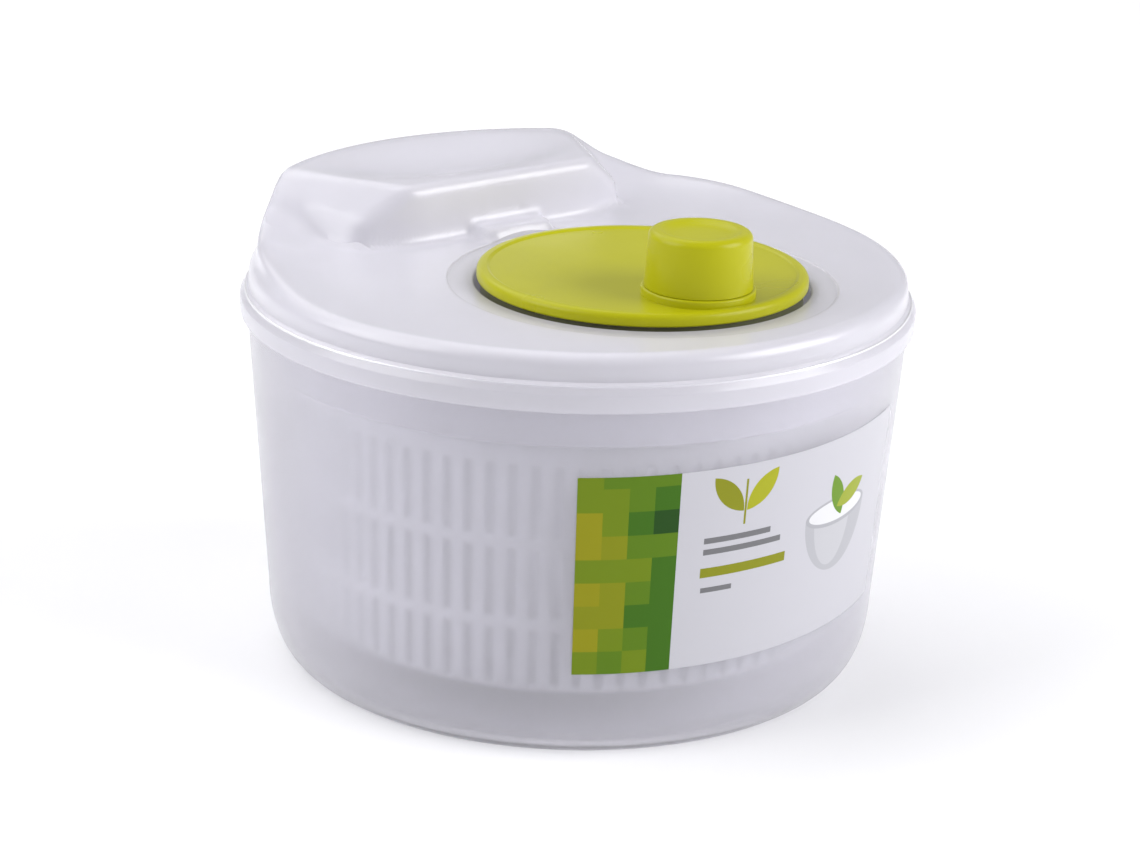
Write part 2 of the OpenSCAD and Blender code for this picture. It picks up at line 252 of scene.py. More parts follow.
class Sketch:
    """Short ways to add and link the nodes of one material."""

    def __init__(self, name):
        self.material = bpy.data.materials.new(name)
        self.material.use_nodes = True
        self.nodes = self.material.node_tree.nodes
        self.links = self.material.node_tree.links
        self.shader = self.nodes["Principled BSDF"]

    def node(self, kind, *inputs, **settings):
        """Adds a node; an input is a value, a socket or None to leave it alone."""
        made = self.nodes.new(kind)
        for key, value in settings.items():
            setattr(made, key, value)
        for socket, value in zip(made.inputs, inputs):
            if isinstance(value, bpy.types.NodeSocket):
                self.links.new(value, socket)
            elif value is not None:
                socket.default_value = value
        return made

    def maths(self, operation, *inputs):
        """Result of a Math node."""
        return self.node("ShaderNodeMath", *inputs, operation=operation).outputs[0]

    def vector(self, operation, *inputs):
        """Result of a Vector Math node."""
        made = self.node("ShaderNodeVectorMath", *inputs, operation=operation)
        return made.outputs["Value" if operation == "LENGTH" else "Vector"]

    def mix(self, share, first, second):
        """Two colours mixed by a share."""
        made = self.nodes.new("ShaderNodeMix")
        made.data_type = "RGBA"
        for name, value in (("Factor_Float", share), ("A_Color", first), ("B_Color", second)):
            socket = [s for s in made.inputs if s.identifier == name][0]
            if isinstance(value, bpy.types.NodeSocket):
                self.links.new(value, socket)
            else:
                socket.default_value = value if name == "Factor_Float" else (*value, 1)
        return [s for s in made.outputs if s.identifier == "Result_Color"][0]

    def place(self):
        """The point on the object."""
        return self.node("ShaderNodeTexCoord").outputs["Object"]

    def noise(self, scale, detail=2.0):
        """Cloudy noise that stays with the object."""
        made = self.node("ShaderNodeTexNoise")
        made.inputs["Scale"].default_value = scale
        made.inputs["Detail"].default_value = detail
        self.links.new(self.place(), made.inputs["Vector"])
        return made.outputs["Fac"]

    def between(self, value, low, high):
        """Noise stretched over a range; nearly all of it lies between 0.3 and 0.7."""
        made = self.node("ShaderNodeMapRange", value)
        made.inputs["From Min"].default_value = 0.3
        made.inputs["From Max"].default_value = 0.7
        made.inputs["To Min"].default_value = low
        made.inputs["To Max"].default_value = high
        return made.outputs["Result"]

    def set(self, **values):
        """Sets or links the shader's sockets."""
        for name, value in values.items():
            socket = self.shader.inputs[name.replace("_", " ")]
            if isinstance(value, bpy.types.NodeSocket):
                self.links.new(value, socket)
            else:
                socket.default_value = (*value, 1) if isinstance(value, tuple) else value

    def let_light_in(self, share):
        """Lets this share of the lamps' light through to what stands behind."""
        path = self.node("ShaderNodeLightPath")
        clear = self.node("ShaderNodeBsdfTransparent", (share, share, share, 1))
        mixed = self.node("ShaderNodeMixShader", path.outputs["Is Shadow Ray"], self.shader.outputs[0],
                          clear.outputs[0])
        self.links.new(mixed.outputs[0], self.nodes["Material Output"].inputs["Surface"])

    def bump(self, height, distance, strength):
        """Fine relief, its depth in metres."""
        made = self.node("ShaderNodeBump")
        made.inputs["Strength"].default_value = strength
        made.inputs["Distance"].default_value = distance
        self.links.new(height, made.inputs["Height"])
        self.links.new(made.outputs["Normal"], self.shader.inputs["Normal"])


def shade(colour, factor):
    """A colour made lighter or darker."""
    return tuple(min(1.0, value * factor) for value in colour)


def frosted_plastic(tint, name, clearness, light_share):
    """Translucent polypropylene: cloudy flow marks, a fine matt grain and a soft gloss."""
    paint = Sketch(name)
    cloud = paint.between(paint.noise(14.0, 4.0), 0.0, 1.0)
    paint.set(Base_Color=paint.mix(cloud, shade(tint, 0.97), tint),
              Roughness=paint.between(paint.noise(30.0), 0.23, 0.27),
              Transmission_Weight=clearness, IOR=1.49)
    paint.bump(paint.noise(85.0), 0.00006, 0.3)
    paint.let_light_in(light_share)
    return paint.material


def moulded_plastic(colour, name, roughness):
    """Solid moulded plastic with slight colour drift and a fine spark-eroded grain."""
    paint = Sketch(name)
    drift = paint.between(paint.noise(22.0, 3.0), 0.0, 1.0)
    paint.set(Base_Color=paint.mix(drift, shade(colour, 0.94), shade(colour, 1.03)),
              Roughness=paint.between(paint.noise(38.0), roughness - 0.03, roughness + 0.03),
              IOR=1.49, Specular_IOR_Level=0.2)
    paint.bump(paint.noise(110.0), 0.00004, 0.3)
    return paint.material


def turned_steel(name):
    """Stainless steel with the fine lines of a turned surface."""
    paint = Sketch(name)
    lines = paint.node("ShaderNodeTexNoise")
    stretch = paint.node("ShaderNodeMapping", paint.place())
    stretch.inputs["Scale"].default_value = (1.0, 1.0, 14.0)
    paint.links.new(stretch.outputs[0], lines.inputs["Vector"])
    lines.inputs["Scale"].default_value = 900.0
    paint.set(Base_Color=(0.62, 0.63, 0.65), Metallic=1.0,
              Roughness=paint.between(lines.outputs["Fac"], 0.22, 0.40))
    paint.bump(lines.outputs["Fac"], 0.00002, 0.4)
    return paint.material


MATERIALS = {}


def paint_all():
    """Makes every material once, from the colours in the panel."""
    colours = bpy.context.scene.spinner_finishes
    MATERIALS["bowl"] = frosted_plastic(tuple(colours.frosted), "frosted_bowl", 0.78, 0.85)
    # The lid takes the bowl's frosted tint darkened by 7 %: painted shade that tones down its brightly lit
    # top.
    MATERIALS["lid"] = frosted_plastic(shade(colours.frosted, 0.93), "frosted_lid", 0.52, 0.85)
    MATERIALS["basket"] = moulded_plastic(tuple(colours.white), "white_basket", 0.38)
    MATERIALS["green"] = moulded_plastic(tuple(colours.green), "lime_green", 0.30)
    MATERIALS["acetal"] = moulded_plastic((0.80, 0.77, 0.68), "natural_acetal", 0.32)
    # The ring gear is near-black, olive-tinted acetal: painted shade, so the gap under the crank disc reads
    # dark.
    MATERIALS["gear"] = moulded_plastic((0.085, 0.087, 0.045), "acetal_dark_as_gap_shade", 0.34)
    MATERIALS["steel"] = turned_steel("stainless_steel")


# ---- bowl ----

class SPINNER_OT_bowl(bpy.types.Operator):
    """Turn the frosted bowl with its foot ring, rounded corner and pin boss"""
    bl_idname = PREFIX + "bowl"
    bl_label = "Bowl"

    def execute(self, context):
        size = context.scene.spinner_bowl
        floor = 3.0
        recess_r, recess = 80.0, 0.8                 # inside the foot ring
        boss_r, boss_top, pin_r = 9.0, 7.0, 2.55
        outline = rounded(
            [(0, recess, 0), (recess_r, recess, 0.3), (recess_r + 0.5, 0, 0.3)]
            + arc(size.base_r, size.corner_h, size.corner_r - size.base_r, size.corner_h, -90, 0, 14)
            + [(BOWL_R, BOWL_TOP, 0.9), (BOWL_R - size.wall, BOWL_TOP, 0.9)]
            + arc(size.base_r, size.corner_h, size.corner_r - size.wall - size.base_r,
                  size.corner_h - floor, 0, -90, 14)
            + [(60, floor, 0), (30, floor, 0), (boss_r + 1, floor, 1.2), (boss_r, boss_top, 0.8),
               (pin_r, boss_top, 0.2), (pin_r, floor, 0), (0, floor, 0)])
        bowl = turned("bowl_shell", outline)
        finish(bowl, "bowl", "frosted_clear", MATERIALS["bowl"], "bowl")
        return {"FINISHED"}


# ---- printed film ----

FILM_START = -128.7     # where the film's left end lies round the bowl, in degrees
FILM_SWEEP = 69.3       # how far it reaches from there, in degrees
FILM_LOW = 28.2
FILM_HIGH = 89.7        # height of the top edge at the left end
FILM_GAP = 0.02         # air behind the film
FILM_THICK = 0.13
FILM_PANEL = 29.0       # width of the green panel, in mm along the film
FILM_TILE = 7.25        # side of the smaller tiles, in mm
FILM_TILT = 2.4         # rise of the film from its left end to its right, in mm


def bowl_radius(height, size):
    """Outer radius of the bowl's wall at a height."""
    return size.corner_r + (BOWL_R - size.corner_r) * (height - size.corner_h) / (BOWL_TOP - size.corner_h)


def printed_film():
    """Film print: a panel of green tiles, then a leaf, plain bars and a bowl on white."""
    paint = Sketch("printed_film")
    place = paint.node("ShaderNodeUVMap", uv_map="film").outputs[0]
    white = (0.50, 0.495, 0.535)
    olive = (0.22, 0.23, 0.008)
    grey = (0.16, 0.16, 0.17)

    def part(shift, shape):
        """Mask of one bar (half width, half height) or one disc (radius across, radius up)."""
        away = paint.vector("SUBTRACT", place, (*shift, 0))
        if shape[0] == "bar":
            split = paint.node("ShaderNodeSeparateXYZ", paint.vector("ABSOLUTE", away))
            return paint.maths("MULTIPLY", paint.maths("LESS_THAN", split.outputs[0], shape[1]),
                             paint.maths("LESS_THAN", split.outputs[1], shape[2]))
        scaled = paint.vector("DIVIDE", away, (shape[1], shape[2], 1))
        return paint.maths("LESS_THAN", paint.vector("LENGTH", scaled), 1.0)

    def both(first, second):
        """Mask of what lies in both."""
        return paint.maths("MULTIPLY", first, second)

    def leaf(x, y, across, up):
        """Where two discs overlap, one on each side of the leaf's spine."""
        radius = 11.0
        return both(part((x - across, y - up), ("disc", radius, radius)),
                    part((x + across, y + up), ("disc", radius, radius)))

    shapes = [
        (both(part((88, 38), ("disc", 15, 19)), part((88, 28), ("bar", 15, 10))), (0.40, 0.40, 0.43)),
        (both(part((86, 38), ("disc", 9, 17)), part((86, 29), ("bar", 9, 9))), (0.47, 0.47, 0.50)),
        (part((88, 38), ("disc", 15, 4.4)), (0.36, 0.36, 0.39)),
        (part((88, 38.2), ("disc", 13.6, 3.4)), (0.66, 0.66, 0.68)),
        (leaf(87, 43, 7.5, 3.0), (0.12, 0.24, 0.01)),
        (leaf(94, 42, 3.0, -7.5), (0.28, 0.33, 0.02)),
        (leaf(44, 53, 6.0, 5.2), olive),
        (leaf(55, 53, -6.0, 5.2), (0.34, 0.35, 0.012)),
        (part((49.5, 50), ("bar", 0.35, 7)), olive),
        (part((48, 39.5), ("bar", 11, 0.9)), grey),
        (part((50, 36), ("bar", 13, 0.9)), grey),
        (part((51, 29.5), ("bar", 14.5, 1.5)), olive),
        (part((42, 24), ("bar", 5, 0.8)), grey),
    ]
    colour = paint.node("ShaderNodeRGB").outputs[0]
    colour.default_value = (*white, 1)
    for mask, tint in shapes:
        colour = paint.mix(mask, colour, tint)

    def tile(size):
        """Column and row of the tile that holds a point."""
        return paint.vector("FLOOR", paint.vector("DIVIDE", place, (size, size, 1)))

    def chance(steps):
        """A value of its own for each tile, the same in every run."""
        return paint.node("ShaderNodeTexWhiteNoise", steps, noise_dimensions="2D").outputs["Value"]

    split = paint.node("ShaderNodeSeparateXYZ", place)
    column = paint.node("ShaderNodeSeparateXYZ", tile(FILM_TILE))
    drift = paint.maths("ADD", paint.maths("MULTIPLY", column.outputs[0], 0.13),
                      paint.maths("MULTIPLY", column.outputs[1], 0.022))
    small = paint.maths("MULTIPLY", chance(tile(FILM_TILE)), 0.34)
    large = paint.maths("MULTIPLY", chance(tile(2 * FILM_TILE)), 0.14)
    mosaic = paint.maths("ADD", drift, paint.maths("ADD", small, large))
    ramp = paint.node("ShaderNodeValToRGB", mosaic)
    greens = [(0.0, (0.26, 0.25, 0.002)), (0.24, (0.21, 0.23, 0.002)), (0.38, (0.14, 0.21, 0.002)),
              (0.52, (0.09, 0.18, 0.003)), (0.68, (0.04, 0.13, 0.003)), (0.84, (0.012, 0.06, 0.004))]
    ramp.color_ramp.interpolation = "CONSTANT"
    for i, (position, tint) in enumerate(greens):
        stop = ramp.color_ramp.elements[i] if i < 2 else ramp.color_ramp.elements.new(position)
        stop.position = position
        stop.color = (*tint, 1)
    panel = paint.maths("LESS_THAN", split.outputs[0], FILM_PANEL)
    paint.set(Base_Color=paint.mix(panel, colour, ramp.outputs[0]),
              Roughness=paint.between(paint.noise(40.0), 0.30, 0.36), IOR=1.5,
              Specular_IOR_Level=0.2)
    paint.bump(paint.noise(120.0), 0.00003, 0.3)
    return paint.material


class SPINNER_OT_film(bpy.types.Operator):
    """Wrap the printed film round the bowl"""
    bl_idname = PREFIX + "film"
    bl_label = "Printed film"

    def execute(self, context):
        size = context.scene.spinner_bowl
        tall = FILM_HIGH - FILM_LOW
        film = fresh(bpy.ops.mesh.primitive_grid_add, "printed_film", x_subdivisions=96, y_subdivisions=24,
                     size=1)
        print_map = film.data.uv_layers.new(name="film")
        width = math.radians(FILM_SWEEP) * bowl_radius((FILM_LOW + FILM_HIGH) / 2, size)
        flat = [(vertex.co.x + 0.5, vertex.co.y + 0.5) for vertex in film.data.vertices]
        for loop in film.data.loops:
            s, t = flat[loop.vertex_index]
            print_map.data[loop.index].uv = (s * width, t * tall)
        for vertex, (s, t) in zip(film.data.vertices, flat):
            height = FILM_LOW + tall * t + FILM_TILT * s
            angle = math.radians(FILM_START + FILM_SWEEP * s)
            radius = bowl_radius(height, size) + FILM_GAP
            vertex.co = (radius * math.cos(angle) * MM, radius * math.sin(angle) * MM, height * MM)
        bpy.ops.object.mode_set(mode="EDIT")
        bpy.ops.mesh.select_all(action="SELECT")
        bpy.ops.mesh.normals_make_consistent(inside=False)
        bpy.ops.object.mode_set(mode="OBJECT")
        if film.data.polygons[0].normal.dot(film.data.polygons[0].center) < 0:
            film.data.flip_normals()
        modifier(film, "SOLIDIFY", thickness=FILM_THICK * MM, offset=1.0)
        finish(film, "bowl", "printed_film", printed_film(), "label_film")
        return {"FINISHED"}


# ---- basket ----

class SPINNER_OT_basket(bpy.types.Operator):
    """Spin the basket's skin, cut its slots, give it a wall and soften the edges"""
    bl_idname = PREFIX + "basket"
    bl_label = "Basket"

    def execute(self, context):
        size = context.scene.spinner_basket
        pitch = 7                                    # steps to each slot with its bar
        slot_steps = 3                               # steps to the slot alone
        steps = size.slots * pitch
        tiers = [(19.8, 37.0), (40.5, 62.0), (65.5, 87.5)]
        low_r, high_r, floor, corner, top = 85.1, 87.6, 16.9, 5.0, 95.6

        def wall_r(height):
            """Radius of the tapered wall at a height."""
            return low_r + (high_r - low_r) * (height - floor - corner) / (top - floor - corner)

        floor_rings = (11, 20, 32, 44, 48, 61, 74)
        inner_slots, outer_slots = (20, 44), (48, 74)
        mid_tiers = [30.0, 51.0, 76.0]
        heights = sorted([z for tier in tiers for z in tier] + mid_tiers)
        outline = [(radius, floor) for radius in floor_rings]
        outline += [(x, y) for x, y, _ in arc(low_r - corner, floor + corner, corner, corner, -90, 0, 5)]
        outline = [p for p in outline if abs(p[1] - tiers[0][0]) > 0.6]   # no sliver at the slots' foot
        outline += [(wall_r(z), z) for z in heights if z > floor + corner] + [(wall_r(91.5), 91.5)]
        outline += [(wall_r(top - 1.6), top - 1.6), (wall_r(top) + 0.6, top), (90.9, top)]
        skin = fresh(bpy.ops.mesh.primitive_circle_add, "basket_skin", vertices=len(outline), radius=MM)
        for vertex, (radius, height) in zip(skin.data.vertices, outline):
            vertex.co = (radius * MM, 0, height * MM)
        last = len(outline) - 1                      # the circle's closing edge isn't part of the skin
        drop(skin, "EDGE", lambda edge: set(edge.vertices) == {0, last})
        bpy.ops.object.mode_set(mode="EDIT")
        bpy.ops.mesh.select_all(action="SELECT")
        bpy.ops.mesh.spin(steps=steps, angle=2 * math.pi, center=(0, 0, 0), axis=(0, 0, 1))
        bpy.ops.object.mode_set(mode="OBJECT")
        close_mesh(skin)

        floor_steps = steps // size.floor_slots
        notch_at, notch_half, quarter = 45, 2.3, 90  # the rim's notches, in degrees
        spare = 3                                    # more than half a notch, so that none is split

        def open_at(face):
            """Whether a face lies in a slot of the wall or floor, or in a notch of the rim."""
            x, y, z = [value / MM for value in face.center]
            radius = math.hypot(x, y)
            step = (math.degrees(math.atan2(y, x)) % 360) / 360 * steps
            if radius > low_r - 2.6 and any(low < z < high for low, high in tiers):
                return step % pitch < slot_steps
            middle = abs(step % floor_steps - floor_steps / 2)
            if z < floor + 0.3:
                return (inner_slots[0] < radius < inner_slots[1] and middle < 4.6) \
                    or (outer_slots[0] < radius < outer_slots[1] and middle < 2.6)
            off_notch = (step / steps * 360 - notch_at + spare) % quarter - spare
            return radius > 88.3 and z > top - 0.5 and abs(off_notch) < notch_half

        drop(skin, "FACE", open_at)
        modifier(skin, "SOLIDIFY", thickness=size.wall * MM, offset=0.0, use_even_offset=True)
        modifier(skin, "BEVEL", width=0.28 * MM, segments=2, limit_method="ANGLE",
                 angle_limit=math.radians(55))
        finish(skin, "basket", "white_plastic", MATERIALS["basket"], "basket", angle=40)
        hub = turned("basket_hub", rounded([(8.9, 8.9, 0.3), (11, 8.9, 0.4), (11, 16.4, 0), (12.2, 16.4, 0),
                                            (12.2, 17.4, 0), (11, 19.2, 0.6), (0, 19.2, 0), (0, 17.5, 0),
                                            (8.9, 17.5, 0)]))
        finish(hub, "basket", "white_plastic", MATERIALS["basket"])
        return {"FINISHED"}


# ---- lid ----

WELL_R = 50.6           # the well that the crank disc turns in
WELL_FLOOR = 112.0
SURROUND_R = 58.5       # the flat ring round the well
SURROUND_Z = 124.7
TOP_R = 94.5            # where the top sheet ends and the edge begins
BODY_R = 101.2          # the lid's side, above the bead
EDGE_ROUND = 4.0
GRIP_R = 98.6           # the grip's back at its top
SHOULDER_R = 64.0       # where the shoulder starts to rise outwards
PAD_HALF = 13.5         # the low pad at the foot of the grip's front wall
PAD_FRONT = 28.5
PAD_TOP = 129.0
DISH_Y = 67.0           # the finger dish in the grip's top
DISH_HALF = (40.0, 20.0)
DISH_DEPTH = 4.2


def smooth(t):
    """Eases from 0 to 1."""
    t = np.clip(t, 0, 1)
    return t * t * (3 - 2 * t)


def blend_low(a, b, reach):
    """The lower of two distances, with a fillet where they meet."""
    return np.minimum(a, b) - np.maximum(reach - np.abs(a - b), 0) ** 2 / (4 * reach)


def blend_high(a, b, reach):
    """The higher of two distances, with a round where they meet."""
    return -blend_low(-a, -b, reach)


def lid_body(points, size):
    """Distance above the lid's outer surface, from the solids that the lid is blended from."""
    x, y, z = np.abs(points[..., 0]), points[..., 1], points[..., 2]
    radius = np.hypot(x, y)
    outer = radius - GRIP_R - (size.grip_top - z) * 0.015

    over = (radius - BODY_R + EDGE_ROUND, z - size.top + EDGE_ROUND)
    drum = np.hypot(np.maximum(over[0], 0), np.maximum(over[1], 0)) \
        + np.minimum(np.maximum(*over), 0) - EDGE_ROUND

    # the shoulder rises from the sides to the grip in two sweeps, most at the lid's edge
    from_grip = np.degrees(np.arctan2(x, y))
    rise = (5.2 * smooth((105 - from_grip) / 45) + 9.0 * smooth((57 - from_grip) / 22)) \
        * np.clip((radius - SHOULDER_R) / (GRIP_R - SHOULDER_R), 0, 1) ** 1.8
    shoulder = (z - size.top - rise + 2 * (1 - smooth(rise / 5))) * 0.93

    # the grip widens backwards: a flat top, a chamfer down to a knee, and a steep flank below it
    beyond = y - size.grip_front
    flat_half = 36 + 0.51 * beyond
    knee_half = 48.5 + 0.379 * beyond
    knee_z = 132.5 + 0.117 * beyond
    chamfer = ((z - size.grip_top) + 0.904 * (x - flat_half)) / 1.425
    flank = (x - knee_half - 0.26 * (knee_z - z)) / 1.10
    front = -beyond + (z - 134) * 0.026
    wing = (x - 35) * 0.309 - beyond * 0.951
    walls = blend_high(front, wing, 2.0)
    crown = blend_high(blend_high(z - size.grip_top, chamfer, 1.4 + 3.6 * smooth((y - 60) / 30)), flank,
                       0.9 + 2.0 * smooth((y - 60) / 30))
    grip = blend_high(crown, walls, 3.6)

    raised = blend_high(blend_low(grip, shoulder, 4.0 + 3.0 * smooth((y - 42) / 30)), outer, 3.2)
    pad = blend_high(blend_high(x - PAD_HALF, PAD_FRONT - y, 5.0), z - PAD_TOP, 2.4)
    pad = np.maximum(pad, beyond - 6)
    whole = blend_low(blend_low(drum, raised, 3.0), pad, 3.0)
    depth = DISH_DEPTH * (1 - (x / DISH_HALF[0]) ** 2 - ((y - DISH_Y) / DISH_HALF[1]) ** 2)
    return blend_high(whole, (z - size.grip_top + depth) * 0.93, 2.4)


def settle(starts, directions, size, low=-14.0, high=24.0):
    """Moves each start along its direction on to the lid's surface."""
    below = np.full(starts.shape[:-1], low)
    above = np.full(starts.shape[:-1], high)
    for _ in range(28):
        middle = (below + above) / 2
        outside = lid_body(starts + directions * middle[..., None], size) > 0
        above = np.where(outside, middle, above)
        below = np.where(outside, below, middle)
    return starts + directions * ((below + above) / 2)[..., None]


def lid_rows(size):
    """Rings of points for the whole shell, from the crank's bore over the top and back underneath."""
    turn = np.linspace(0, 2 * math.pi, LID_COLS, endpoint=False)
    plan = np.stack([np.sin(turn), np.cos(turn)], axis=1)

    def ring(centre_y, radius, height):
        """A level circle of points."""
        flat = plan * radius + [0, centre_y]
        return np.column_stack([flat, np.full(LID_COLS, height)])

    well = [ring(CRANK_Y, r, z) for r, z in rounded(
        [(8, 106.2, 0), (8, 117, 0.2), (10, 117, 0.5), (10, WELL_FLOOR, 1.5), (30, WELL_FLOOR, 0),
         (WELL_R, WELL_FLOOR, 1.5), (WELL_R, SURROUND_Z, 0.8), (SURROUND_R, SURROUND_Z, 0.5),
         (SURROUND_R + 0.2, size.top, 0)], closed=False, segments=4)]

    # top sheet: rings that grow from the crank's surround to the lid's edge
    share = np.linspace(0, 1, 96)[:, None]
    centre = CRANK_Y * (1 - share)
    reach = SURROUND_R + 0.7 + (TOP_R - SURROUND_R - 0.7) * share
    x = reach * plan[:, 0]
    y = centre + reach * plan[:, 1]
    climb = size.grip_top - size.top
    ramp_y = size.grip_front - climb / 2
    weight = smooth((58 - np.abs(x)) / 10)
    z = size.top + weight * climb * np.clip((y - ramp_y) / climb, 0, 1)
    lean = weight * smooth((y - ramp_y + 8) / 8) * smooth((ramp_y + climb + 8 - y) / 8)
    direction = np.stack([0 * x, -lean, np.ones_like(x)], axis=-1)
    direction /= np.linalg.norm(direction, axis=-1, keepdims=True)
    top = settle(np.stack([x, y, z], axis=-1), direction, size)

    # edge: from the top sheet's last ring down to the side
    last_height = top[-1, :, 2]
    side_r, side_z = BODY_R, 119.0
    share = np.linspace(0, 1, 26)[1:, None]
    radius = TOP_R + (side_r - TOP_R) * share
    height = last_height + (side_z - last_height) * share
    slope = np.hypot(side_r - TOP_R, last_height - side_z)
    across = (last_height - side_z) / slope
    upward = (side_r - TOP_R) / slope
    starts = np.stack([radius * plan[:, 0], radius * plan[:, 1], height], axis=-1)
    outward = np.stack([across * plan[:, 0], across * plan[:, 1], upward + 0 * across], axis=-1)
    edge = settle(starts, np.broadcast_to(outward, starts.shape), size, -6.0, 8.0)

    # inner sheet: the outer one moved in by the wall, every second ring of it
    formed = np.concatenate([top, edge])
    along = np.gradient(formed, axis=0)
    around = np.roll(formed, -1, axis=1) - np.roll(formed, 1, axis=1)
    normal = np.cross(around, along)
    normal /= np.linalg.norm(normal, axis=-1, keepdims=True)
    normal *= np.sign(normal[0, 0, 2])
    under = (formed - normal * size.wall)[::-2]

    skirt = [ring(0, r, z) for r, z in rounded(
        [(BODY_R, 118.4, 0), (BODY_R, BOWL_TOP + 0.7, 0.25), (LID_R - 1.6, BOWL_TOP - 0.2, 0.9),
         (LID_R, BOWL_TOP - 2.4, 1.2), (LID_R, 109.2, 1.0), (BOWL_R + 0.35, 109.2, 0.25),
         (BOWL_R + 0.35, BOWL_TOP + 0.05, 0.3), (BOWL_R - 2.6, BOWL_TOP + 0.05, 0.3), (98.3, 98, 0.5),
         (96.4, 98, 0.5), (98.4, 117.5, 0)], closed=False, segments=4)]
    below_well = [ring(CRANK_Y, r, z) for r, z in rounded(
        [(SURROUND_R - 1, 122.2, 0), (WELL_R + 2, 122.2, 0.5), (WELL_R + 2, 110, 2.0), (30, 110, 0),
         (10, 110, 1.0), (10, 106.2, 0.5), (8, 106.2, 0)], closed=False, segments=3)]
    return np.array(well + list(formed) + skirt + list(under) + below_well)


class SPINNER_OT_lid(bpy.types.Operator):
    """Form the lid: a shell with a crank well, a bead, a swept shoulder and a hollow hand grip"""
    bl_idname = PREFIX + "lid"
    bl_label = "Lid"

    def execute(self, context):
        rows = lid_rows(context.scene.spinner_lid)
        count = len(rows)
        lid = fresh(bpy.ops.mesh.primitive_grid_add, "lid_shell", x_subdivisions=LID_COLS,
                    y_subdivisions=count - 1, size=1)
        closed = np.concatenate([rows, rows[:, :1]], axis=1) * MM
        lid.data.vertices.foreach_set("co", closed.reshape(-1))
        lid.data.update()
        close_mesh(lid)
        boss = turned("drive_boss", rounded([(6.5, 104.5, 0.3), (10, 104.5, 0.5), (10, 110.6, 0),
                                             (6.5, 110.6, 0)]), steps=96)
        combine(lid, boss, "UNION")
        bore = turned("drive_bore", [(0, 103), (6.5, 103), (6.5, 113), (0, 113)], steps=96)
        combine(lid, bore, "DIFFERENCE")
        finish(lid, "lid", "frosted_clear", MATERIALS["lid"], "lid", angle=28)
        return {"FINISHED"}


# ---- crank ----

DISC_LOW = 125.3
DISC_TOP = 129.2
WEB_DROP = 0.55         # how far the disc's face lies below its rim
COLLAR_TOP = 131.0
PILLAR_R = 4.05         # hole that the knob's pillar turns in


class SPINNER_OT_crank(bpy.types.Operator):
    """Turn the crank disc with its raised rim, its stub axle and the collar under the knob"""
    bl_idname = PREFIX + "crank"
    bl_label = "Crank disc"

    def execute(self, context):
        low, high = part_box("crank_disc")
        radius = (high.x - low.x) / 2 / MM
        web = DISC_TOP - WEB_DROP
        disc = turned("crank_disc_top", rounded(
            [(0, low.z / MM, 0), (6, low.z / MM, 0.4), (6, 117.3, 0), (10, 117.3, 0.3), (10, DISC_LOW, 0.4),
             (radius, DISC_LOW, 0.7), (radius, DISC_TOP, 1.7),
             (radius - 3.0, DISC_TOP, 0.6), (radius - 3.9, web, 0.7), (20, web, 0), (0, web, 0)],
            segments=5), (0, CRANK_Y), 256)
        collar = turned("crank_collar", rounded(
            [(7.2, web - 1, 0), (16.8, web - 1, 0), (16.8, COLLAR_TOP, 0.6), (12.8, COLLAR_TOP, 0.3),
             (12.8, web - 1.4, 0), (7.2, web - 1.4, 0)], segments=4), (KNOB_X, KNOB_Y), 128)
        combine(disc, collar, "UNION")
        above = COLLAR_TOP + 1
        hole = turned("pillar_hole", [(0, DISC_LOW - 1), (PILLAR_R, DISC_LOW - 1), (PILLAR_R, above),
                                      (0, above)], (KNOB_X, KNOB_Y), 64)
        combine(disc, hole, "DIFFERENCE")
        sleeve = turned("crank_sleeve", rounded([(PILLAR_R, web - 1, 0), (7, web - 1, 0), (7, 137, 0.4),
                                                 (PILLAR_R, 137, 0.3)]), (KNOB_X, KNOB_Y), 64)
        finish(disc, "crank", "green_plastic", MATERIALS["green"], "crank_disc")
        finish(sleeve, "crank", "green_plastic", MATERIALS["green"])
        return {"FINISHED"}


class SPINNER_OT_knob(bpy.types.Operator):
    """Turn the knob: a slightly tapered cap with a rounded rim and a dished top"""
    bl_idname = PREFIX + "knob"
    bl_label = "Knob"

    def execute(self, context):
        low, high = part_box("knob")
        foot, top = 131.1, high.z / MM
        rim, depth = 15.0, 1.35
        dish = [(rim - 3.2 - 1.1 * i, top - depth * math.sin(math.pi * min(i / 8, 0.5)), 0)
                for i in range(9)]
        knob = turned("knob_cap", rounded(
            [(1.5, low.z / MM, 0), (4, low.z / MM, 0.3), (4, 143.6, 0.5), (rim - 2.2, 143.6, 1.0),
             (13.6, foot, 0.3), (16, foot, 0.15), (15.7, foot + 4, 0), (rim + 0.1, top, 2.3),
             (rim - 3.0, top, 0.5)] + dish + [(0, top - depth, 0), (0, 138, 0), (1.5, 138, 0)],
            segments=7), (KNOB_X, KNOB_Y), 160)
        finish(knob, "knob", "green_plastic", MATERIALS["green"], "knob")
        return {"FINISHED"}


# ---- fittings that keep their CAD shape ----

class SPINNER_OT_fittings(bpy.types.Operator):
    """Give the gears, bushes, pins and washers their finishes"""
    bl_idname = PREFIX + "fittings"
    bl_label = "Fittings"

    def execute(self, context):
        looks = {"steel": ["pivot_pin", "gear_screws", "crank_washer", "crank_screw", "knob_washer",
                           "knob_screw", "thrust_washer", "drive_shaft", "drive_washer", "drive_screw"],
                 "acetal": ["pivot_cup", "crank_bush", "drive_bush", "pinion"],
                 # the ring gear's near-black is painted shade for the gap under the crank disc
                 "gear": ["ring_gear"],
                 "basket": ["drive_plate"]}
        for look, names in looks.items():
            for name in names:
                for slot in frame["nodes"][name].material_slots:
                    slot.material = MATERIALS[look]
        return {"FINISHED"}


# ---- stage ----

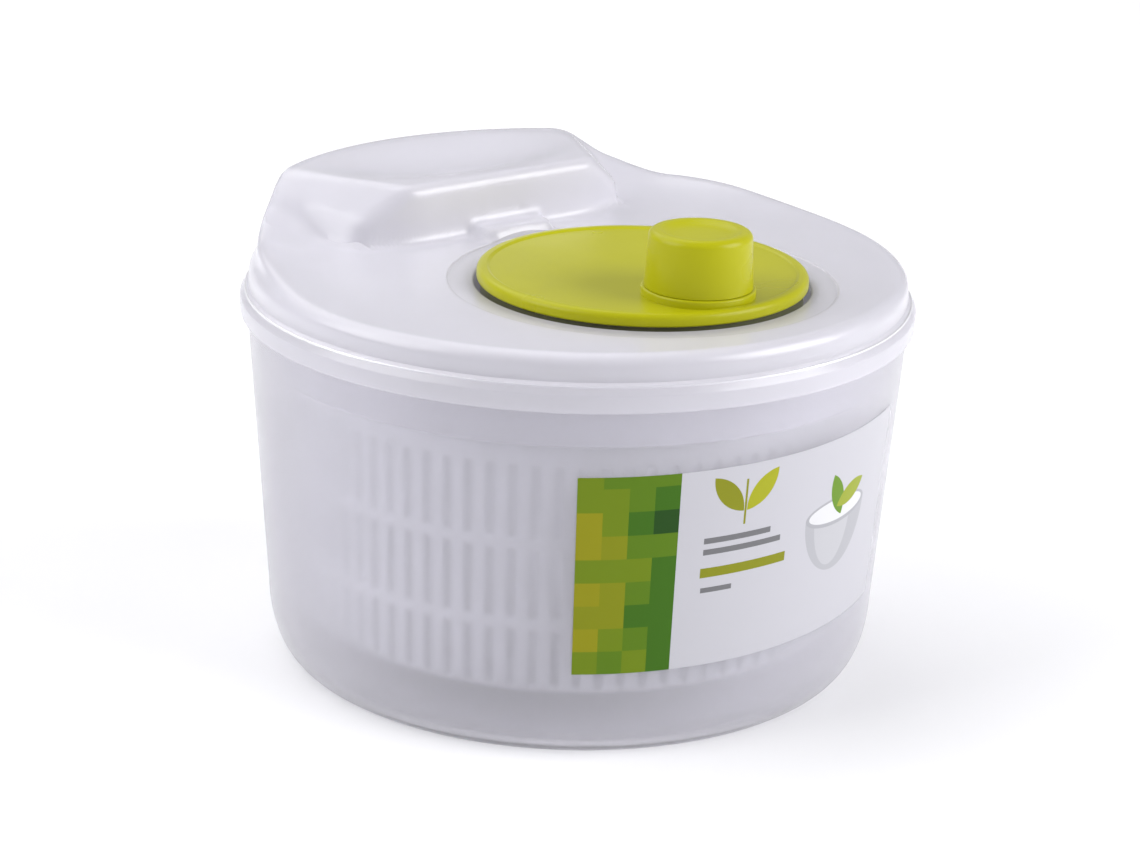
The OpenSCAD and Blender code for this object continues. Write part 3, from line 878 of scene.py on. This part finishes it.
VIEW_FROM = (-0.5064, -0.6143, 0.3459)
VIEW_AT = (0.0, 0.0, 0.060)
VIEW_ROLL = 1.754       # degrees
VIEW_LENS = 84.43
VIEW_SHIFT = (-0.0029, 0.0251)
LIT_POINT = (0, 0, 0.08)
LAMPS = {"key": ((-2.1, 0.9, 1.5), 46, 2.0),       # place, power and size
         "fill": ((1.5, -2.1, 1.3), 76, 2.0),
         "top": ((-0.1, 1.5, 2.1), 30, 2.6)}


def lamp(name, place, power, size):
    """A square soft light that faces the object."""
    light = fresh(bpy.ops.object.light_add, name, type="AREA", location=place)
    light.data.energy = power
    light.data.size = size
    light.rotation_euler = (Vector(LIT_POINT) - Vector(place)).to_track_quat("-Z", "Y").to_euler()


class SPINNER_OT_stage(bpy.types.Operator):
    """Set the pale floor, the soft lights and the camera"""
    bl_idname = PREFIX + "stage"
    bl_label = "Stage"

    def execute(self, context):
        floor = fresh(bpy.ops.mesh.primitive_plane_add, "floor", size=12)
        paint = Sketch("pale_floor")
        paint.set(Base_Color=(0.92, 0.92, 0.93), Roughness=0.9)
        floor.data.materials.append(paint.material)

        world = bpy.data.worlds.new("studio")
        context.scene.world = world
        world.use_nodes = True
        world.node_tree.nodes["Background"].inputs["Color"].default_value = (0.97, 0.97, 1.0, 1)
        world.node_tree.nodes["Background"].inputs["Strength"].default_value = 0.42

        for name, (place, power, width) in LAMPS.items():
            lamp(name, place, power, width)

        camera = fresh(bpy.ops.object.camera_add, "camera", location=VIEW_FROM)
        aim = (Vector(VIEW_AT) - Vector(VIEW_FROM)).to_track_quat("-Z", "Y")
        camera.rotation_euler = aim.to_euler()
        camera.rotation_euler.rotate_axis("Z", math.radians(VIEW_ROLL))
        camera.data.lens = VIEW_LENS
        camera.data.sensor_width = 36
        camera.data.shift_x, camera.data.shift_y = VIEW_SHIFT
        camera.data.clip_start = 0.01
        context.scene.camera = camera
        context.scene.view_settings.view_transform = "Standard"
        return {"FINISHED"}


class SPINNER_PT_panel(bpy.types.Panel):
    """Lists the pieces in the 3D view's sidebar"""
    bl_label = "Salad spinner"
    bl_idname = "SPINNER_PT_panel"
    bl_space_type = "VIEW_3D"
    bl_region_type = "UI"
    bl_category = "Spinner"

    def draw(self, context):
        for group in ("spinner_bowl", "spinner_basket", "spinner_lid", "spinner_finishes"):
            settings = getattr(context.scene, group)
            for name in settings.__annotations__:
                self.layout.prop(settings, name)
        for operator in PIECES:
            self.layout.operator(operator.bl_idname)


GROUPS = {"spinner_bowl": BowlSizes, "spinner_basket": BasketSizes, "spinner_lid": LidSizes,
          "spinner_finishes": Finishes}
PIECES = [SPINNER_OT_stage, SPINNER_OT_bowl, SPINNER_OT_film, SPINNER_OT_basket, SPINNER_OT_lid,
          SPINNER_OT_crank, SPINNER_OT_knob, SPINNER_OT_fittings]


def register():
    for item in [*GROUPS.values(), *PIECES, SPINNER_PT_panel]:
        bpy.utils.register_class(item)
    for name, group in GROUPS.items():
        setattr(bpy.types.Scene, name, PointerProperty(type=group))


def unregister():
    for name in GROUPS:
        delattr(bpy.types.Scene, name)
    for item in [SPINNER_PT_panel, *PIECES, *GROUPS.values()]:
        bpy.utils.unregister_class(item)


def main():
    register()
    paint_all()
    bpy.ops.spinner.stage()
    bpy.ops.spinner.bowl()
    bpy.ops.spinner.film()
    bpy.ops.spinner.basket()
    bpy.ops.spinner.lid()
    bpy.ops.spinner.crank()
    bpy.ops.spinner.knob()
    bpy.ops.spinner.fittings()


if __name__ == "__main__":
    main()
